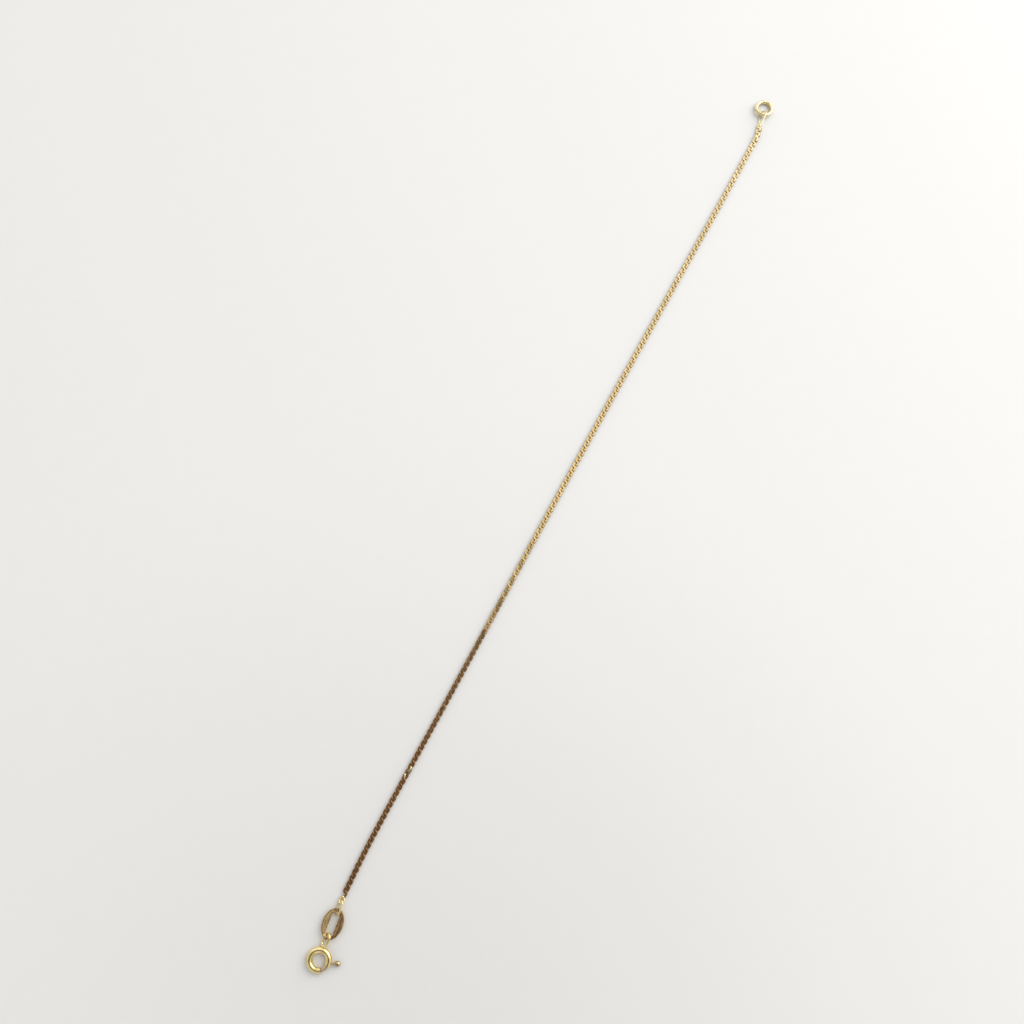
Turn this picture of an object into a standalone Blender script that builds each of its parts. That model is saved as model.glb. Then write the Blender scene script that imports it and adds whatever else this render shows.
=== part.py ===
# Fine gold S-link bracelet with a spring ring clasp, lying open on a flat surface.
# The clasp is at -X, the plain end ring at +X, and +Z is up from the surface.
import math

import bmesh
import bpy
from mathutils import Matrix, Vector

MM = 0.001

# Room between pieces that pass through one another, and how far a held bar
# lies beyond the middle of the loop's end
LINK_CLEARANCE = 0.06 * MM
LOOP_SEAT_SHIFT = 0.1 * MM

# Spring ring clasp: a hollow C-shaped tube, its angles counted from +X
CLASP_OUTER_RADIUS = 2.36 * MM
CLASP_TUBE_RADIUS = 0.58 * MM
CLASP_TUBE_WALL = 0.17 * MM
CLASP_MOUTH_ANGLE = math.radians(-95)
CLASP_FAR_MOUTH_ANGLE = math.radians(219)
CLASP_STEPS = 34
CLASP_TUBE_SIDES = 12

# Sliding bolt of the clasp and its trigger knob
BOLT_CLEARANCE = 0.09 * MM
BOLT_NOSE_ANGLE = math.radians(-153)
BOLT_TAIL_ANGLE = math.radians(-52)
BOLT_NOSE_LENGTH = 0.16 * MM
BOLT_NOSE_TIP_SHARE = 0.6
BOLT_STEPS = 12
BOLT_SIDES = 8
TRIGGER_ANGLE = math.radians(-73)
TRIGGER_TRAVEL = math.radians(60)
TRIGGER_REACH = 1.68 * MM
TRIGGER_STEM_RADIUS = 0.26 * MM
TRIGGER_BALL_RADIUS = 0.54 * MM
TRIGGER_BALL_STEPS = 5
TRIGGER_SLOT_CLEARANCE = 0.07 * MM
TRIGGER_SLOT_STEPS = 8

# Elongated eye soldered to the clasp tube
EYE_ANGLE = math.radians(13)
EYE_LENGTH = 2.67 * MM
EYE_WIRE_RADIUS = 0.23 * MM
EYE_SINK = 0.12 * MM
EYE_SOLDER_RADIUS = 0.36 * MM

# Direction in which clasp, tag and end link lie, counted from +X
HEAD_HEADING = math.radians(7.2)
LOOP_ROLL = math.radians(-45)

# Oval tag with a long slot and two sunk side panels
TAG_LENGTH = 5.8 * MM
TAG_WIDTH = 3.86 * MM
TAG_THICKNESS = 0.36 * MM
TAG_CLASP_BAR = 0.5 * MM
TAG_CHAIN_BAR = 0.62 * MM
TAG_SLOT_WIDTH = 1.46 * MM
TAG_SLOT_SQUARENESS = 3.4
TAG_EDGE_BEVEL = 0.06 * MM
TAG_INNER_BORDER = 0.12 * MM
TAG_OUTER_BORDER = 0.2 * MM
TAG_PANEL_DEPTH = 0.07 * MM
TAG_PANEL_SLOPE = 0.04 * MM
TAG_PANEL_START = 0.3
TAG_PANEL_FADE = 0.25
TAG_STATIONS = 28

# Pear-shaped link from the tag's slot to the chain
END_LINK_LENGTH = 2.86 * MM
END_LINK_WIRE_RADIUS = 0.15 * MM
END_LINK_TAG_SLACK = 0.06 * MM

# Small eye soldered to the chain's first link
CHAIN_EYE_SLACK = 0.1 * MM
CHAIN_EYE_STRAIGHT = 0.08 * MM
CHAIN_EYE_WIRE_RADIUS = 0.15 * MM
CHAIN_EYE_SOLDER_RADIUS = 0.33 * MM
CHAIN_EYE_SINK = 0.1 * MM

# Chain of flat S-links nested side by side
CHAIN_LENGTH = 179.4 * MM
LINK_PITCH = 1.2 * MM
LINK_WIDTH = 1.02 * MM
LINK_THICKNESS = 0.54 * MM
LINK_GAP = 0.11 * MM
LINK_TONGUE_THICKNESS = 0.2 * MM
LINK_LOWER_SCALLOP = 0.13 * MM
LINK_UPPER_SCALLOP = 0.08 * MM

# Line of the gap between two links: along as shares of the pitch, across of the half width
GAP_HUMP = {"along": -0.21, "across": 0.2}
GAP_VALLEY = {"along": 0.21, "across": -0.2}
GAP_END_ALONG = 0.36
LOBE_SHOULDERS = (0.28, 0.72)

# Route of the chain: along and sideways as shares of the chain's length
CHAIN_ROUTE = (
    {"along": 0.0, "sideways": 0.0},
    {"along": 0.062, "sideways": 0.00134},
    {"along": 0.239, "sideways": -0.00212},
    {"along": 0.425, "sideways": -0.00535},
    {"along": 0.583, "sideways": -0.00864},
    {"along": 0.75, "sideways": -0.01315},
    {"along": 0.881, "sideways": -0.01706},
    {"along": 0.9805, "sideways": -0.01934},
    {"along": 0.9866, "sideways": -0.01906},
    {"along": 1.0, "sideways": -0.01622},
)
TWISTED_LINKS = 4
END_ROLL = math.radians(-38)

# Solder of an old repair and the bead where the chain turns to the end loop
REPAIR_SHARE = 0.138
REPAIR_LENGTH = 2.5 * MM
REPAIR_WIDTH = 0.86 * MM
REPAIR_HEIGHT = 0.66 * MM
BEAD_SHARE = 0.9836
BEAD_RADIUS = 0.5 * MM
BEAD_OFFSET = 0.12 * MM

# Pear-shaped loop soldered to the chain's last link
END_LOOP_LENGTH = 3.74 * MM
END_LOOP_WIRE_RADIUS = 0.15 * MM
END_LOOP_CHAIN_RADIUS = 0.2 * MM
END_LOOP_SINK = 0.15 * MM
END_LOOP_SOLDER_RADIUS = 0.3 * MM

# Plain end ring that the clasp closes on
END_RING_OUTER_RADIUS = 2.02 * MM
END_RING_WIRE_RADIUS = 0.37 * MM
END_RING_STEPS = 28
END_RING_SIDES = 10

WIRE_SIDES = 8
LOOP_END_STEPS = 7
SOLDER_SEGMENTS = 10
SOLDER_RINGS = 6
MERGE_DISTANCE = 0.001 * MM
SMOOTH_ANGLE = math.radians(40)


def clear_scene():
    for old in list(bpy.data.objects):
        bpy.data.objects.remove(old, do_unlink=True)


def make_gold(name, color, roughness):
    material = bpy.data.materials.new(name)
    material.use_nodes = True
    shader = material.node_tree.nodes["Principled BSDF"]
    shader.inputs["Base Color"].default_value = (*color, 1.0)
    shader.inputs["Metallic"].default_value = 1.0
    shader.inputs["Roughness"].default_value = roughness
    return material


def make_object(name, mesh_builder, material=None):
    bmesh.ops.recalc_face_normals(mesh_builder, faces=mesh_builder.faces)
    mesh = bpy.data.meshes.new(name)
    mesh_builder.to_mesh(mesh)
    mesh_builder.free()
    piece = bpy.data.objects.new(name, mesh)
    bpy.context.collection.objects.link(piece)
    if material:
        mesh.materials.append(material)
    mesh.shade_smooth()
    mesh.set_sharp_from_angle(angle=SMOOTH_ANGLE)
    return piece


def join_or_cut(piece, tool, operation):
    tool.hide_render = True
    tool.display_type = "WIRE"
    boolean = piece.modifiers.new(tool.name, "BOOLEAN")
    boolean.operation = operation
    boolean.object = tool
    boolean.solver = "EXACT"


def polar(centre, radius, angle):
    return centre + Vector((radius * math.cos(angle), radius * math.sin(angle), 0.0))


def heading_vector(heading):
    return Vector((math.cos(heading), math.sin(heading), 0.0))


def circle_section(radius, sides):
    turns = [2 * math.pi * (k + 0.5) / sides for k in range(sides)]
    return [(radius * math.cos(turn), radius * math.sin(turn)) for turn in turns]


def sweep(builder, centres, normal, section, closed, scales=None):
    """Sweep a section of (sideways, along the normal) offsets down a flat path."""
    count = len(centres)
    rings = []
    for k, centre in enumerate(centres):
        before = centres[(k - 1) % count] if closed or k > 0 else centre
        after = centres[(k + 1) % count] if closed or k < count - 1 else centre
        side = (after - before).normalized().cross(normal).normalized()
        scale = scales[k] if scales else 1.0
        rings.append([builder.verts.new(centre + scale * (s * side + n * normal)) for s, n in section])
    pairs = range(count if closed else count - 1)
    for k in pairs:
        near, far = rings[k], rings[(k + 1) % count]
        for j in range(len(section)):
            following = (j + 1) % len(section)
            builder.faces.new((near[j], near[following], far[following], far[j]))
    if not closed:
        builder.faces.new(rings[0])
        builder.faces.new(rings[-1])


def arc_centres(centre, radius, start, end, steps):
    return [polar(centre, radius, start + (end - start) * k / steps) for k in range(steps + 1)]


def pear_loop(name, near, far, near_radius, far_radius, wire_radius, roll, material=None):
    """A closed wire loop round two end circles; near and far are its outermost points."""
    axis = (far - near).normalized()
    level_side = Vector((0.0, 0.0, 1.0)).cross(axis).normalized()
    side = Matrix.Rotation(roll, 3, axis) @ level_side
    normal = axis.cross(side)
    near_centre = near + axis * (near_radius + wire_radius)
    far_centre = far - axis * (far_radius + wire_radius)
    spread = (far_centre - near_centre).length
    lean = math.asin((far_radius - near_radius) / spread)
    far_sweep = math.pi / 2 + lean
    near_sweep = math.pi / 2 - lean
    centres = []
    for circle, radius, half_sweep, facing in (
        (far_centre, far_radius, far_sweep, 0.0),
        (near_centre, near_radius, near_sweep, math.pi),
    ):
        for k in range(LOOP_END_STEPS + 1):
            turn = facing - half_sweep + 2 * half_sweep * k / LOOP_END_STEPS
            centres.append(circle + radius * (math.cos(turn) * axis + math.sin(turn) * side))
    builder = bmesh.new()
    sweep(builder, centres, normal, circle_section(wire_radius, WIRE_SIDES), closed=True)
    return make_object(name, builder, material)


def blob(name, centre, half_sizes, heading=0.0):
    """A smooth lump of solder."""
    builder = bmesh.new()
    bmesh.ops.create_uvsphere(
        builder, u_segments=SOLDER_SEGMENTS, v_segments=SOLDER_RINGS, radius=1.0,
    )
    turn = Matrix.Rotation(math.pi / SOLDER_SEGMENTS, 4, "Z")
    shape = Matrix.Diagonal((*half_sizes, 1.0))
    place = Matrix.Translation(centre) @ Matrix.Rotation(heading, 4, "Z")
    bmesh.ops.transform(builder, matrix=place @ shape @ turn, verts=builder.verts)
    return make_object(name, builder)


def clasp_centre():
    return Vector((CLASP_OUTER_RADIUS, 0.0, CLASP_TUBE_RADIUS))


def clasp_path_radius():
    return CLASP_OUTER_RADIUS - CLASP_TUBE_RADIUS


def loop_end_radius(held_half_height, wire_radius, slack=LINK_CLEARANCE):
    """Radius of a rolled loop's end whose strands clear what lies flat between them."""
    return (held_half_height + slack + wire_radius) / abs(math.sin(LOOP_ROLL))


def loop_half_height(end_radius, wire_radius):
    return end_radius * abs(math.sin(LOOP_ROLL)) + wire_radius


def eye_end_radius():
    return loop_end_radius(TAG_THICKNESS / 2, EYE_WIRE_RADIUS)


def end_link_tag_radius():
    slack = LINK_CLEARANCE + END_LINK_TAG_SLACK
    return loop_end_radius(TAG_THICKNESS / 2, END_LINK_WIRE_RADIUS, slack)


def end_link_chain_radius():
    return loop_end_radius(CHAIN_EYE_WIRE_RADIUS, END_LINK_WIRE_RADIUS)


def end_loop_ring_radius():
    return loop_end_radius(END_RING_WIRE_RADIUS, END_LOOP_WIRE_RADIUS)


def head_height():
    """Height at which the tag lies, held clear of the surface by the loops through it."""
    return max(
        loop_half_height(eye_end_radius(), EYE_WIRE_RADIUS),
        loop_half_height(end_link_tag_radius(), END_LINK_WIRE_RADIUS),
    )


def head_point(distance, height):
    return polar(Vector((CLASP_OUTER_RADIUS, 0.0, height)), distance, HEAD_HEADING)


def eye_far_distance():
    return CLASP_OUTER_RADIUS + EYE_LENGTH


def tag_near_distance():
    bar_edge = eye_far_distance() - EYE_WIRE_RADIUS - eye_end_radius() + LOOP_SEAT_SHIFT
    return bar_edge - TAG_CLASP_BAR


def tag_far_distance():
    return tag_near_distance() + TAG_LENGTH


def end_link_near_distance():
    loop_centre = tag_far_distance() - TAG_CHAIN_BAR + LOOP_SEAT_SHIFT
    return loop_centre - end_link_tag_radius() - END_LINK_WIRE_RADIUS


def end_link_far_distance():
    return end_link_near_distance() + END_LINK_LENGTH


def end_link_height():
    return loop_half_height(end_link_chain_radius(), END_LINK_WIRE_RADIUS)


def chain_eye_radius():
    """Radius of the chain's eye, whose hole lets the rolled end link through."""
    return loop_end_radius(0.0, END_LINK_WIRE_RADIUS, 0.0) + CHAIN_EYE_SLACK + CHAIN_EYE_WIRE_RADIUS


def chain_eye_near_distance():
    held_wire = end_link_far_distance() - END_LINK_WIRE_RADIUS - end_link_chain_radius()
    return held_wire - CHAIN_EYE_WIRE_RADIUS


def chain_eye_far_distance():
    eye_length = 2 * (chain_eye_radius() + CHAIN_EYE_WIRE_RADIUS) + CHAIN_EYE_STRAIGHT
    return chain_eye_near_distance() + eye_length


def link_count():
    return round(CHAIN_LENGTH / LINK_PITCH)


def fitted_pitch():
    """The links' pitch, evened out so that whole links fill the chain's length."""
    return CHAIN_LENGTH / link_count()


def chain_start():
    lobe_reach = GAP_END_ALONG * fitted_pitch()
    return head_point(chain_eye_far_distance() - CHAIN_EYE_SINK + lobe_reach, 0.0)


def build_clasp_case(gold):
    """Hollow C-shaped tube with a slot for the trigger and the eye soldered on."""
    centre = clasp_centre()
    radius = clasp_path_radius()
    up = Vector((0.0, 0.0, 1.0))
    step = (CLASP_FAR_MOUTH_ANGLE - CLASP_MOUTH_ANGLE) / CLASP_STEPS

    builder = bmesh.new()
    path = arc_centres(centre, radius, CLASP_MOUTH_ANGLE, CLASP_FAR_MOUTH_ANGLE, CLASP_STEPS)
    sweep(builder, path, up, circle_section(CLASP_TUBE_RADIUS, CLASP_TUBE_SIDES), closed=False)
    case = make_object("clasp_case", builder, gold)

    far = head_point(eye_far_distance(), head_height())
    root = polar(centre, CLASP_OUTER_RADIUS - EYE_SINK, EYE_ANGLE)
    root.z = far.z
    eye = pear_loop(
        "clasp_eye_wire", root, far, eye_end_radius(), eye_end_radius(), EYE_WIRE_RADIUS, LOOP_ROLL,
    )
    join_or_cut(case, eye, "UNION")
    solder_place = polar(centre, CLASP_OUTER_RADIUS, EYE_ANGLE)
    solder = blob("clasp_eye_solder", solder_place, (EYE_SOLDER_RADIUS,) * 3, EYE_ANGLE)
    join_or_cut(case, solder, "UNION")

    builder = bmesh.new()
    bore_path = arc_centres(
        centre, radius, CLASP_MOUTH_ANGLE - step, CLASP_FAR_MOUTH_ANGLE + step, CLASP_STEPS + 2,
    )
    bore_radius = CLASP_TUBE_RADIUS - CLASP_TUBE_WALL
    sweep(builder, bore_path, up, circle_section(bore_radius, CLASP_TUBE_SIDES), closed=False)
    join_or_cut(case, make_object("clasp_bore", builder), "DIFFERENCE")

    half_slot = TRIGGER_STEM_RADIUS + TRIGGER_SLOT_CLEARANCE
    slot_margin = math.asin(half_slot / radius)
    inside = bore_radius - CLASP_TUBE_WALL
    outside = CLASP_TUBE_RADIUS + CLASP_TUBE_WALL
    section = [(inside, -half_slot), (outside, -half_slot), (outside, half_slot), (inside, half_slot)]
    slot_start = TRIGGER_ANGLE - slot_margin
    slot_end = TRIGGER_ANGLE + TRIGGER_TRAVEL + slot_margin
    slot_path = arc_centres(centre, radius, slot_start, slot_end, TRIGGER_SLOT_STEPS)
    builder = bmesh.new()
    sweep(builder, slot_path, up, section, closed=False)
    join_or_cut(case, make_object("clasp_slot", builder), "DIFFERENCE")
    return case


def build_clasp_bolt(gold):
    """Curved bolt inside the tube with its trigger knob; its origin is on the clasp's axis."""
    radius = clasp_path_radius()
    bolt_radius = CLASP_TUBE_RADIUS - CLASP_TUBE_WALL - BOLT_CLEARANCE
    origin = Vector((0.0, 0.0, 0.0))
    nose_turn = BOLT_NOSE_LENGTH / radius
    path = [polar(origin, radius, BOLT_NOSE_ANGLE)]
    path += arc_centres(origin, radius, BOLT_NOSE_ANGLE + nose_turn, BOLT_TAIL_ANGLE, BOLT_STEPS)
    scales = [BOLT_NOSE_TIP_SHARE] + [1.0] * (len(path) - 1)
    builder = bmesh.new()
    section = circle_section(bolt_radius, BOLT_SIDES)
    sweep(builder, path, Vector((0.0, 0.0, 1.0)), section, closed=False, scales=scales)
    bolt = make_object("clasp_bolt", builder, gold)

    tip = CLASP_OUTER_RADIUS + TRIGGER_REACH
    ball_centre = tip - TRIGGER_BALL_RADIUS
    neck_angle = math.pi - math.asin(TRIGGER_STEM_RADIUS / TRIGGER_BALL_RADIUS)
    profile = [(radius, 0.0), (radius, TRIGGER_STEM_RADIUS)]
    for k in range(TRIGGER_BALL_STEPS):
        angle = neck_angle * (1 - k / TRIGGER_BALL_STEPS)
        offset = TRIGGER_BALL_RADIUS * math.cos(angle)
        profile.append((ball_centre + offset, TRIGGER_BALL_RADIUS * math.sin(angle)))
    profile.append((tip, 0.0))
    knob = make_object("trigger_knob", turned_profile(profile, TRIGGER_ANGLE))
    join_or_cut(bolt, knob, "UNION")
    knob.parent = bolt
    bolt.location = clasp_centre()
    return bolt


def turned_profile(profile, heading):
    """Spin (distance, radius) rows about the line that leaves the origin at a heading."""
    axis = heading_vector(heading)
    side = Vector((0.0, 0.0, 1.0)).cross(axis)
    builder = bmesh.new()
    points = [builder.verts.new(distance * axis + radius * side) for distance, radius in profile]
    edges = [builder.edges.new(pair) for pair in zip(points, points[1:])]
    bmesh.ops.spin(
        builder, geom=points + edges, cent=(0.0, 0.0, 0.0), axis=axis,
        angle=2 * math.pi, steps=WIRE_SIDES, use_merge=True,
    )
    bmesh.ops.remove_doubles(builder, verts=builder.verts, dist=MERGE_DISTANCE)
    return builder


def build_tag(gold):
    """Oval plate with a long slot; each face has a sunk panel on either side of the slot."""
    place = head_point((tag_near_distance() + tag_far_distance()) / 2, head_height())
    slot_low = -TAG_LENGTH / 2 + TAG_CLASP_BAR
    slot_high = TAG_LENGTH / 2 - TAG_CHAIN_BAR
    slot_middle = (slot_low + slot_high) / 2
    slot_half_length = (slot_high - slot_low) / 2
    power = 2 / TAG_SLOT_SQUARENESS
    top = TAG_THICKNESS / 2

    builder = bmesh.new()
    stations = []
    for k in range(TAG_STATIONS):
        turn = 2 * math.pi * (k + 0.5) / TAG_STATIONS
        cosine, sine = math.cos(turn), math.sin(turn)
        rim = Vector((TAG_LENGTH / 2 * cosine, TAG_WIDTH / 2 * sine, 0.0))
        slot = Vector((
            slot_middle + slot_half_length * math.copysign(abs(cosine) ** power, cosine),
            TAG_SLOT_WIDTH / 2 * math.copysign(abs(sine) ** power, sine),
            0.0,
        ))
        outward = (rim - slot).normalized()
        panel_share = min(1.0, max(0.0, (abs(sine) - TAG_PANEL_START) / TAG_PANEL_FADE))
        sunk = top - TAG_PANEL_DEPTH * panel_share
        half_loop = [
            (slot, top),
            (slot + outward * TAG_INNER_BORDER, top),
            (slot + outward * (TAG_INNER_BORDER + TAG_PANEL_SLOPE), sunk),
            (rim - outward * (TAG_OUTER_BORDER + TAG_PANEL_SLOPE), sunk),
            (rim - outward * TAG_OUTER_BORDER, top),
            (rim - outward * TAG_EDGE_BEVEL, top),
            (rim, top - TAG_EDGE_BEVEL),
        ]
        whole_loop = half_loop + [(point, -height) for point, height in reversed(half_loop)]
        stations.append([builder.verts.new(point + Vector((0.0, 0.0, z))) for point, z in whole_loop])
    for k, near in enumerate(stations):
        far = stations[(k + 1) % TAG_STATIONS]
        for j in range(len(near)):
            following = (j + 1) % len(near)
            builder.faces.new((near[j], near[following], far[following], far[j]))
    turn_to_heading = Matrix.Translation(place) @ Matrix.Rotation(HEAD_HEADING, 4, "Z")
    bmesh.ops.transform(builder, matrix=turn_to_heading, verts=builder.verts)
    return make_object("oval_tag", builder, gold)


def build_end_link(gold):
    near = head_point(end_link_near_distance(), head_height())
    far = head_point(end_link_far_distance(), end_link_height())
    return pear_loop(
        "end_link", near, far, end_link_tag_radius(), end_link_chain_radius(),
        END_LINK_WIRE_RADIUS, LOOP_ROLL, gold,
    )


def route_point(share):
    """Smooth curve through the chosen points of the route: place and heading at a share of it."""
    rows = CHAIN_ROUTE
    slopes = []
    for k in range(len(rows)):
        before, after = rows[max(k - 1, 0)], rows[min(k + 1, len(rows) - 1)]
        slopes.append((after["sideways"] - before["sideways"]) / (after["along"] - before["along"]))
    k = max(j for j in range(len(rows) - 1) if rows[j]["along"] <= share or j == 0)
    span = rows[k + 1]["along"] - rows[k]["along"]
    t = (share - rows[k]["along"]) / span
    low, high = rows[k]["sideways"], rows[k + 1]["sideways"]
    m_low, m_high = slopes[k] * span, slopes[k + 1] * span
    value = (
        (2 * t ** 3 - 3 * t ** 2 + 1) * low + (t ** 3 - 2 * t ** 2 + t) * m_low
        + (3 * t ** 2 - 2 * t ** 3) * high + (t ** 3 - t ** 2) * m_high
    )
    slope = (
        (6 * t ** 2 - 6 * t) * (low - high) + (3 * t ** 2 - 4 * t + 1) * m_low
        + (3 * t ** 2 - 2 * t) * m_high
    ) / span
    point = chain_start() + CHAIN_LENGTH * Vector((share, value, 0.0))
    return point, math.atan(slope)


def resting_height(roll):
    return LINK_WIDTH / 2 * abs(math.sin(roll)) + LINK_THICKNESS / 2 * math.cos(roll)


def link_frame(index):
    """Place of a link: its middle, heading and roll, resting on the surface."""
    count = link_count()
    point, heading = route_point((index + 0.5) / count)
    twist = max(0.0, (index - (count - 1 - TWISTED_LINKS)) / TWISTED_LINKS)
    roll = END_ROLL * twist
    point.z = resting_height(roll)
    return Matrix.Translation(point) @ Matrix.Rotation(heading, 4, "Z") @ Matrix.Rotation(roll, 4, "X")


def gap_line(shift, offset):
    """The gap's line at a shift along the chain, moved sideways by an offset to either bank."""
    pitch = fitted_pitch()
    half = LINK_WIDTH / 2
    points = [
        Vector((-GAP_END_ALONG * pitch, LINK_LOWER_SCALLOP - half)),
        Vector((GAP_HUMP["along"] * pitch, GAP_HUMP["across"] * half)),
        Vector((GAP_VALLEY["along"] * pitch, GAP_VALLEY["across"] * half)),
        Vector((GAP_END_ALONG * pitch, half - LINK_UPPER_SCALLOP)),
    ]
    banks = []
    for k, point in enumerate(points):
        normals = []
        for start, end in zip(points[max(k - 1, 0):k + 1], points[max(k, 1):k + 2]):
            direction = (end - start).normalized()
            normals.append(Vector((direction.y, -direction.x)))
        mitre = sum(normals, Vector((0.0, 0.0)))
        mitre *= len(normals) / mitre.length_squared
        moved = point + offset * mitre
        moved.y = min(max(moved.y, points[0].y), points[-1].y)
        banks.append(moved + Vector((shift * pitch, 0.0)))
    return banks


def link_outline():
    """Outline of one S-link, anticlockwise; the tongues root on its second and third points."""
    half = LINK_WIDTH / 2
    left = gap_line(-0.5, LINK_GAP / 2)
    right = gap_line(0.5, -LINK_GAP / 2)
    lower_lobe = [Vector((left[0].x + s * (right[0].x - left[0].x), -half)) for s in LOBE_SHOULDERS]
    upper_lobe = [Vector((right[3].x + s * (left[3].x - right[3].x), half)) for s in LOBE_SHOULDERS]
    return lower_lobe + right + upper_lobe + left[::-1]


def build_links():
    """All the S-links, each tied to the next by a tongue across the gap between them."""
    outline = link_outline()
    size = len(outline)
    right_wall, left_wall = (3, 4), (9, 10)
    half, tongue = LINK_THICKNESS / 2, LINK_TONGUE_THICKNESS / 2
    builder = bmesh.new()
    count = link_count()
    reached = None
    for index in range(count):
        frame = link_frame(index)

        def corner(k, z):
            return builder.verts.new(frame @ Vector((outline[k].x, outline[k].y, z)))

        bottom = [corner(k, -half) for k in range(size)]
        top = [corner(k, half) for k in range(size)]
        builder.faces.new(top)
        builder.faces.new(bottom[::-1])
        rooted_walls = [left_wall] if index > 0 else []
        rooted_walls += [right_wall] if index < count - 1 else []
        roots = {k: (corner(k, -tongue), corner(k, tongue)) for wall in rooted_walls for k in wall}
        for k in range(size):
            following = (k + 1) % size
            if (k, following) in rooted_walls:
                low, high = roots[k]
                next_low, next_high = roots[following]
                builder.faces.new((bottom[k], bottom[following], next_low, low))
                builder.faces.new((high, next_high, top[following], top[k]))
            else:
                wall = [bottom[k], bottom[following], *roots.get(following, ())]
                wall += [top[following], top[k], *roots.get(k, ())[::-1]]
                builder.faces.new(wall)
        if reached:
            hump_low, hump_high = roots[left_wall[1]]
            valley_low, valley_high = roots[left_wall[0]]
            here = (hump_low, valley_low, valley_high, hump_high)
            for j in range(4):
                following = (j + 1) % 4
                builder.faces.new((reached[j], reached[following], here[following], here[j]))
        if right_wall in rooted_walls:
            hump_low, hump_high = roots[right_wall[0]]
            valley_low, valley_high = roots[right_wall[1]]
            reached = (hump_low, valley_low, valley_high, hump_high)
    return builder


def build_chain(gold):
    """The chain with all that is soldered to it: eye, old repair, bead and end loop."""
    chain = make_object("chain", build_links(), gold)
    start, start_heading = route_point(0.0)

    eye_near = head_point(chain_eye_near_distance(), end_link_height())
    eye_far = head_point(chain_eye_far_distance(), LINK_THICKNESS / 2)
    radius = chain_eye_radius()
    eye = pear_loop("chain_eye", eye_near, eye_far, radius, radius, CHAIN_EYE_WIRE_RADIUS, 0.0)
    join_or_cut(chain, eye, "UNION")
    eye_root = eye_far.copy()
    eye_root.z = CHAIN_EYE_SOLDER_RADIUS
    solder = blob("chain_eye_solder", eye_root, (CHAIN_EYE_SOLDER_RADIUS,) * 3, start_heading)
    join_or_cut(chain, solder, "UNION")

    place, heading = route_point(REPAIR_SHARE)
    place.z = REPAIR_HEIGHT / 2
    half_sizes = (REPAIR_LENGTH / 2, REPAIR_WIDTH / 2, REPAIR_HEIGHT / 2)
    join_or_cut(chain, blob("old_repair", place, half_sizes, heading), "UNION")

    place, heading = route_point(BEAD_SHARE)
    place += BEAD_OFFSET * heading_vector(heading + math.pi / 2)
    place.z = BEAD_RADIUS
    join_or_cut(chain, blob("turn_bead", place, (BEAD_RADIUS,) * 3, heading), "UNION")

    near, far = end_loop_ends()
    loop = pear_loop(
        "end_loop", near, far, END_LOOP_CHAIN_RADIUS, end_loop_ring_radius(),
        END_LOOP_WIRE_RADIUS, LOOP_ROLL,
    )
    join_or_cut(chain, loop, "UNION")
    end_solder = blob("end_loop_solder", near, (END_LOOP_SOLDER_RADIUS,) * 3, heading)
    join_or_cut(chain, end_solder, "UNION")
    return chain


def end_loop_ends():
    """Outermost points of the end loop: in the last link, and inside the end ring."""
    chain_end, heading = route_point(1.0)
    direction = heading_vector(heading)
    near = chain_end - END_LOOP_SINK * direction
    near.z = loop_half_height(end_loop_ring_radius(), END_LOOP_WIRE_RADIUS)
    far = near + END_LOOP_LENGTH * direction
    return near, far


def build_end_ring(gold):
    """Plain ring that leans on the end loop's lower strand and on the surface."""
    _, heading = route_point(1.0)
    direction = heading_vector(heading)
    _, loop_far = end_loop_ends()
    held_wire = loop_far - (END_LOOP_WIRE_RADIUS + end_loop_ring_radius()) * direction
    radius = END_RING_OUTER_RADIUS - END_RING_WIRE_RADIUS
    drop = held_wire.z - END_RING_WIRE_RADIUS
    lean = math.asin(drop / (2 * radius))
    axis = math.cos(lean) * direction - Vector((0.0, 0.0, math.sin(lean)))
    side = Vector((0.0, 0.0, 1.0)).cross(direction)
    centre = held_wire + radius * axis
    path = []
    for k in range(END_RING_STEPS):
        turn = 2 * math.pi * k / END_RING_STEPS
        path.append(centre + radius * (math.cos(turn) * axis + math.sin(turn) * side))
    builder = bmesh.new()
    section = circle_section(END_RING_WIRE_RADIUS, END_RING_SIDES)
    sweep(builder, path, axis.cross(side), section, closed=True)
    return make_object("end_ring", builder, gold)


def centre_on_box(pieces):
    """Move the bracelet so that the origin is under the middle of its box."""
    bpy.context.view_layer.update()
    graph = bpy.context.evaluated_depsgraph_get()
    corners = []
    for piece in pieces:
        evaluated = piece.evaluated_get(graph)
        corners += [evaluated.matrix_world @ Vector(corner) for corner in evaluated.bound_box]
    low = Vector([min(corner[k] for corner in corners) for k in range(3)])
    high = Vector([max(corner[k] for corner in corners) for k in range(3)])
    shift = Vector(((low.x + high.x) / 2, (low.y + high.y) / 2, low.z))
    for thing in bpy.data.objects:
        if not thing.parent:
            thing.location -= shift


def build_bracelet():
    clear_scene()
    pale_gold = make_gold("pale_gold", (0.83, 0.68, 0.33), 0.18)
    chain_gold = make_gold("chain_gold", (0.80, 0.60, 0.29), 0.22)
    tag_gold = make_gold("tag_gold", (0.72, 0.50, 0.24), 0.28)
    centre_on_box([
        build_clasp_case(pale_gold),
        build_clasp_bolt(pale_gold),
        build_tag(tag_gold),
        build_end_link(pale_gold),
        build_chain(chain_gold),
        build_end_ring(pale_gold),
    ])


build_bracelet()
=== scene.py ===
import math
import random

import bmesh
import bpy
from mathutils import Matrix, Vector


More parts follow.
